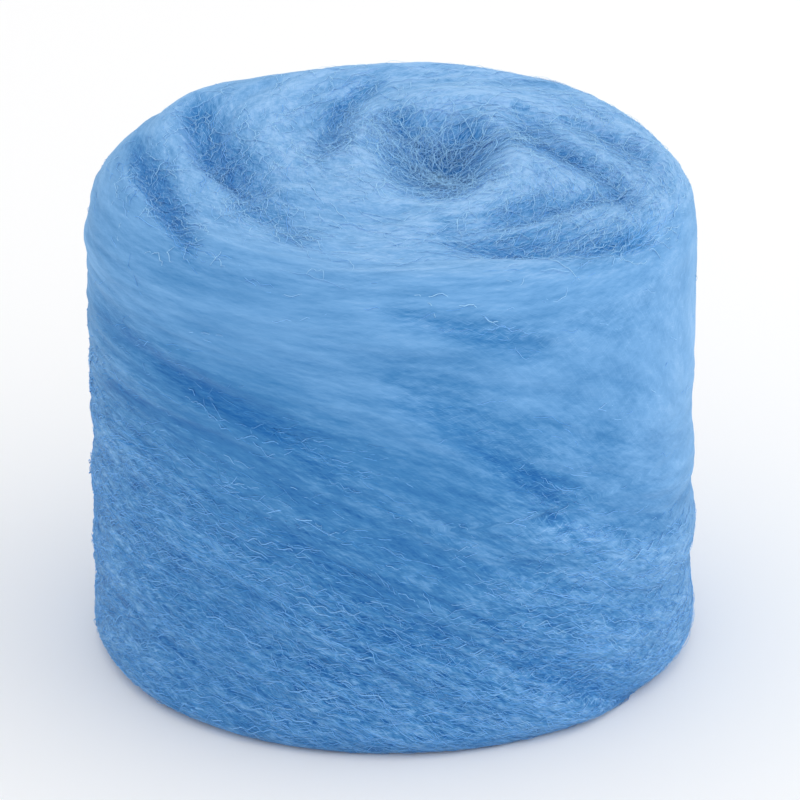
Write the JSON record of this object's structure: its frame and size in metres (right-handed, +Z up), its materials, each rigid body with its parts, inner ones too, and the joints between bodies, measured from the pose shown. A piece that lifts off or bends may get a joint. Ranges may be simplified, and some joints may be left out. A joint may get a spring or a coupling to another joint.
{
  "type": "wool roving roll",
  "caption": "Roll of combed wool roving: one sliver wound on itself into a soft, upright drum with a sunken eye on top.",
  "frame": {"origin": "middle of the flat spot that the roll stands on", "axes": "+Z up along the drum, -Y towards the front of the picture, +X towards the side where the top eye and the low side of the wraps lie"},
  "size_m": [0.1303, 0.1309, 0.1098],
  "materials": {
    "sky_blue_wool": "soft matt combed wool"
  },
  "bodies": {
    "root": {"wound_roving": "sky_blue_wool"}
  },
  "joints": []
}
